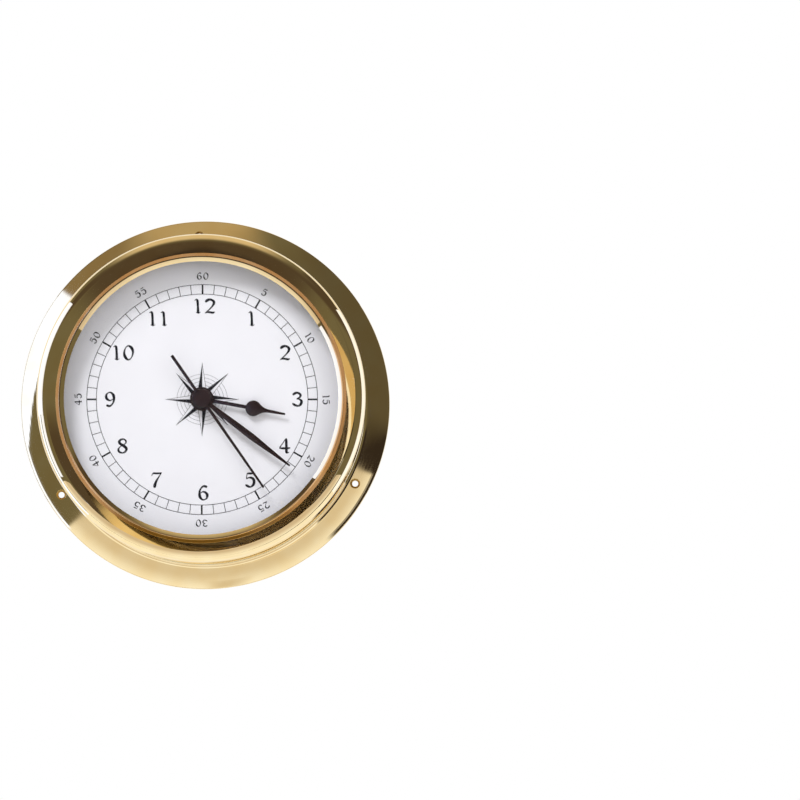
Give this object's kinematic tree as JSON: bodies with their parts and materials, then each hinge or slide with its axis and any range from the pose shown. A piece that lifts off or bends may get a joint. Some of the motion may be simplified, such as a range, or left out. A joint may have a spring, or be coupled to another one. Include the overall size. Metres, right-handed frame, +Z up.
{
  "type": "ships clock",
  "caption": "Round flanged brass ship's clock with a screwed bezel over flat glass, a white dial with hands, and a quartz movement in its open back.",
  "frame": {"origin": "on the axis of the hands, in the plane of the flange's back face that lies on the wall", "axes": "+Z up to 12 o'clock, +X to 3 o'clock, and the dial faces -Y, so +Y points into the wall"},
  "size_m": [0.145, 0.042, 0.145],
  "materials": {
    "polished_brass": "polished, lightly brushed on the flange",
    "plain_brass": "satin",
    "clear_glass": "clear, flat",
    "black_rubber": "matt",
    "white_dial": "satin white with black print",
    "dark_enamel": "glossy near-black",
    "black_plastic": "fine texture",
    "white_plastic": "moulded",
    "plain_steel": "satin",
    "copper_wire": "enamelled winding",
    "green_board": "solder resist",
    "cell_jacket": "plain printed sleeve"
  },
  "bodies": {
    "case": {"case_body": "polished_brass", "spacer_ring": "plain_brass", "dial_plate": "white_dial", "centre_bush": "plain_brass", "dial_washer": "plain_brass", "dial_nut": "plain_brass", "dial_cushion": "black_rubber", "movement_shell": "black_plastic", "movement_cover": "black_plastic", "middle_plate": "white_plastic", "stator": "plain_steel", "motor_coil": "copper_wire", "circuit_board": "green_board", "quartz_crystal": "plain_steel", "dry_cell": "cell_jacket", "positive_contact": "plain_steel", "negative_contact": "plain_steel"},
    "glazing": {"glass": "clear_glass", "glass_gasket": "black_rubber"},
    "bezel_ring": {"bezel": "polished_brass"},
    "seconds": {"second_hand": "dark_enamel", "seconds_wheel": "white_plastic"},
    "third": {"third_wheel": "white_plastic"},
    "minutes": {"minute_hand": "dark_enamel", "cannon_pinion": "plain_brass", "centre_wheel": "white_plastic"},
    "motion": {"minute_wheel": "white_plastic"},
    "hours": {"hour_hand": "dark_enamel", "hour_wheel": "white_plastic"},
    "setting": {"setting_knob": "black_plastic"},
    "intermediate": {"intermediate_wheel": "white_plastic"},
    "motor": {"rotor": "plain_steel"}
  },
  "joints": [
    {"name": "glazing_lift", "type": "slide", "parent": "case", "child": "glazing", "axis": [0, -1, 0], "range_m": [0, 0.0045]},
    {"name": "bezel_turn", "type": "hinge", "parent": "glazing", "child": "bezel_ring", "pos_m": [0, 0, 0], "axis": [0, -1, 0], "range_deg": [0, 1080]},
    {"name": "second_hand_turn", "type": "hinge", "parent": "case", "child": "seconds", "pos_m": [0, 0, 0], "axis": [0, 1, 0], "continuous": true},
    {"name": "third_wheel_turn", "type": "hinge", "parent": "case", "child": "third", "pos_m": [0.00456, 0, 0.00979], "axis": [0, 1, 0], "continuous": true},
    {"name": "minute_hand_turn", "type": "hinge", "parent": "case", "child": "minutes", "pos_m": [0, 0, 0], "axis": [0, 1, 0], "continuous": true},
    {"name": "minute_wheel_turn", "type": "hinge", "parent": "case", "child": "motion", "pos_m": [0.0096, 0, 0], "axis": [0, 1, 0], "continuous": true},
    {"name": "hour_hand_turn", "type": "hinge", "parent": "case", "child": "hours", "pos_m": [0, 0, 0], "axis": [0, 1, 0], "continuous": true},
    {"name": "setting_knob_turn", "type": "hinge", "parent": "case", "child": "setting", "pos_m": [0.01905, 0, 0.00167], "axis": [0, 1, 0], "continuous": true},
    {"name": "intermediate_wheel_turn", "type": "hinge", "parent": "case", "child": "intermediate", "pos_m": [-0.00779, 0, 0.0045], "axis": [0, 1, 0], "continuous": true},
    {"name": "rotor_turn", "type": "hinge", "parent": "case", "child": "motor", "pos_m": [-0.01403, 0, 0.01074], "axis": [0, 1, 0], "continuous": true}
  ],
  "couplings": [
    {"joint": "glazing_lift", "follows": "bezel_turn", "m_per_rad": 0.00023873},
    {"joint": "third_wheel_turn", "follows": "second_hand_turn", "ratio": -0.13333},
    {"joint": "minute_hand_turn", "follows": "second_hand_turn", "ratio": 0.016667},
    {"joint": "minute_wheel_turn", "follows": "second_hand_turn", "ratio": -0.0055556},
    {"joint": "hour_hand_turn", "follows": "second_hand_turn", "ratio": 0.0013889},
    {"joint": "setting_knob_turn", "follows": "second_hand_turn", "ratio": 0.016667},
    {"joint": "intermediate_wheel_turn", "follows": "second_hand_turn", "ratio": -5},
    {"joint": "rotor_turn", "follows": "second_hand_turn", "ratio": 30}
  ]
}
